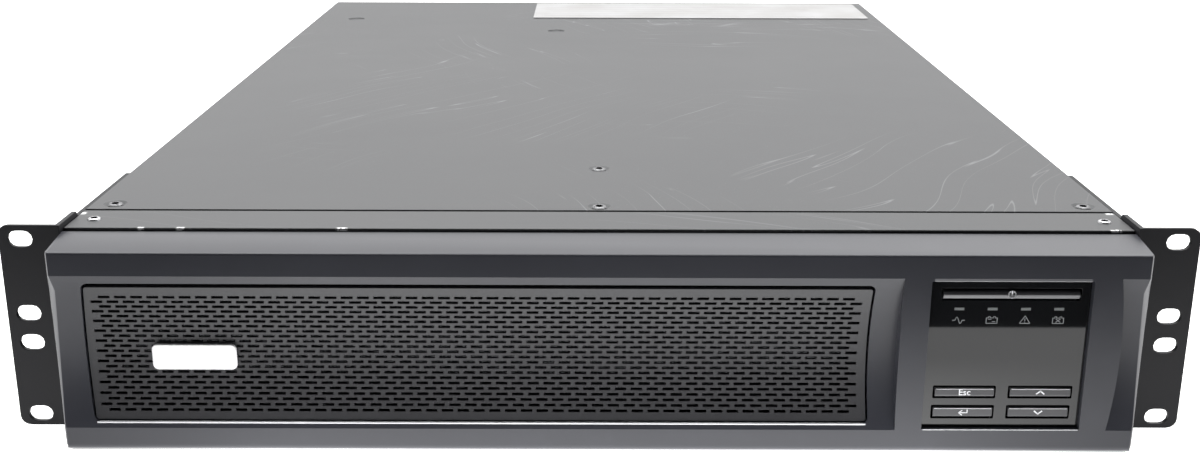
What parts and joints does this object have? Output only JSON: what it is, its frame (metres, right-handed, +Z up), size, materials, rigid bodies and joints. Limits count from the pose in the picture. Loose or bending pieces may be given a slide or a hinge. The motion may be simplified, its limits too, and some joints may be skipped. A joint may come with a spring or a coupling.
{
  "type": "uninterruptible power supply",
  "caption": "Rack-mounted battery backup power supply: flat steel chassis, slotted rack ears, grille bezel with a square display panel, sliding battery drawer, rear outlets and fans.",
  "frame": {"origin": "under the middle of the whole unit, on the plane that its base rests on", "axes": "+X to the right seen from the front, +Y from the front to the back, +Z up"},
  "size_m": [0.4826, 0.679, 0.0881],
  "materials": {
    "chassis_paint": "black powder coat, fine texture",
    "ear_paint": "black powder coat",
    "bezel_plastic": "dark grey, fine spark texture",
    "black_plastic": "black, fine texture",
    "button_plastic": "black, satin",
    "badge_plastic": "white, satin",
    "display_pane": "black tinted, polished",
    "screen": "grey-green liquid crystal",
    "lens": "clear",
    "circuit_board": "green solder mask",
    "zinc_steel": "zinc plated",
    "screw_steel": "bare",
    "core_steel": "varnished laminations",
    "fin_aluminium": "extruded",
    "copper_winding": "enamelled copper",
    "battery_plastic": "grey",
    "strap_webbing": "black webbing",
    "label_white": "white label stock, blank"
  },
  "bodies": {
    "chassis": {"base_tray": "chassis_paint", "top_cover": "chassis_paint", "front_crossmember": "chassis_paint", "card_slot_cover": "chassis_paint", "rear_panel": "chassis_paint", "left_rack_ear": "ear_paint", "right_rack_ear": "ear_paint", "bay_divider": "zinc_steel", "cover_screw_1": "screw_steel", "cover_screw_2": "screw_steel", "cover_screw_3": "screw_steel", "cover_screw_4": "screw_steel", "strip_screw_1": "screw_steel", "strip_screw_2": "screw_steel", "ground_screw": "screw_steel", "fan_frame_1": "black_plastic", "fan_frame_2": "black_plastic", "outlet_block_1": "black_plastic", "outlet_block_2": "black_plastic", "circuit_breaker": "black_plastic", "cord_gland": "black_plastic", "data_ports": "black_plastic", "battery_pack_socket": "black_plastic", "main_board": "circuit_board", "transformer_core": "core_steel", "transformer_coil": "copper_winding", "heatsink_1": "fin_aluminium", "heatsink_2": "fin_aluminium", "capacitor_1": "battery_plastic", "capacitor_2": "battery_plastic", "cover_label": "label_white"},
    "bezel": {"bezel_frame": "bezel_plastic", "grille_insert": "black_plastic", "badge": "badge_plastic"},
    "battery_door": {"battery_door": "zinc_steel"},
    "door_thumbscrew_1": {"door_thumbscrew_1": "screw_steel"},
    "door_thumbscrew_2": {"door_thumbscrew_2": "screw_steel"},
    "battery_drawer": {"battery_tray": "zinc_steel", "battery_1": "battery_plastic", "battery_2": "battery_plastic", "battery_3": "battery_plastic", "battery_4": "battery_plastic", "battery_5": "battery_plastic", "battery_6": "battery_plastic", "pull_strap": "strap_webbing", "battery_connector": "black_plastic"},
    "display_module": {"display_housing": "black_plastic", "display_glass": "display_pane", "lcd_panel": "screen", "display_board": "circuit_board", "light_guide": "lens"},
    "power_button": {"power_button": "button_plastic"},
    "esc_button": {"esc_button": "button_plastic"},
    "enter_button": {"enter_button": "button_plastic"},
    "up_button": {"up_button": "button_plastic"},
    "down_button": {"down_button": "button_plastic"},
    "fan_rotor_1": {"fan_rotor_1": "black_plastic"},
    "fan_rotor_2": {"fan_rotor_2": "black_plastic"},
    "breaker_button": {"breaker_button": "black_plastic"}
  },
  "joints": [
    {"name": "battery_drawer_slide", "type": "slide", "parent": "chassis", "child": "battery_drawer", "axis": [0, -1, 0], "range_m": [0, 0.32]},
    {"name": "battery_door_removal", "type": "slide", "parent": "chassis", "child": "battery_door", "axis": [0, -1, 0], "range_m": [0, 0.34]},
    {"name": "bezel_pull", "type": "slide", "parent": "chassis", "child": "bezel", "axis": [0, -1, 0], "range_m": [0, 0.36]},
    {"name": "display_module_pull", "type": "slide", "parent": "chassis", "child": "display_module", "axis": [0, -1, 0], "range_m": [0, 0.04]},
    {"name": "door_thumbscrew_1_turn", "type": "hinge", "parent": "battery_door", "child": "door_thumbscrew_1", "pos_m": [-0.15, -0.3093, 0.0785], "axis": [0, 1, 0], "continuous": true},
    {"name": "door_thumbscrew_2_turn", "type": "hinge", "parent": "battery_door", "child": "door_thumbscrew_2", "pos_m": [0.05, -0.3093, 0.0785], "axis": [0, 1, 0], "continuous": true},
    {"name": "power_button_press", "type": "slide", "parent": "display_module", "child": "power_button", "axis": [0, 1, 0], "range_m": [0, 0.0008], "stiffness_N_per_m": 500},
    {"name": "esc_button_press", "type": "slide", "parent": "display_module", "child": "esc_button", "axis": [0, 1, 0], "range_m": [0, 0.0008], "stiffness_N_per_m": 500},
    {"name": "enter_button_press", "type": "slide", "parent": "display_module", "child": "enter_button", "axis": [0, 1, 0], "range_m": [0, 0.0008], "stiffness_N_per_m": 500},
    {"name": "up_button_press", "type": "slide", "parent": "display_module", "child": "up_button", "axis": [0, 1, 0], "range_m": [0, 0.0008], "stiffness_N_per_m": 500},
    {"name": "down_button_press", "type": "slide", "parent": "display_module", "child": "down_button", "axis": [0, 1, 0], "range_m": [0, 0.0008], "stiffness_N_per_m": 500},
    {"name": "fan_rotor_1_spin", "type": "hinge", "parent": "chassis", "child": "fan_rotor_1", "pos_m": [0.082, 0.311, 0.043], "axis": [0, 1, 0], "continuous": true},
    {"name": "fan_rotor_2_spin", "type": "hinge", "parent": "chassis", "child": "fan_rotor_2", "pos_m": [0.168, 0.311, 0.043], "axis": [0, 1, 0], "continuous": true},
    {"name": "breaker_button_trip", "type": "slide", "parent": "chassis", "child": "breaker_button", "axis": [0, 1, 0], "range_m": [0, 0.004]}
  ],
  "couplings": [
    {"joint": "battery_door_removal", "follows": "battery_drawer_slide", "ratio": 1.06},
    {"joint": "bezel_pull", "follows": "battery_drawer_slide", "ratio": 1.12}
  ]
}
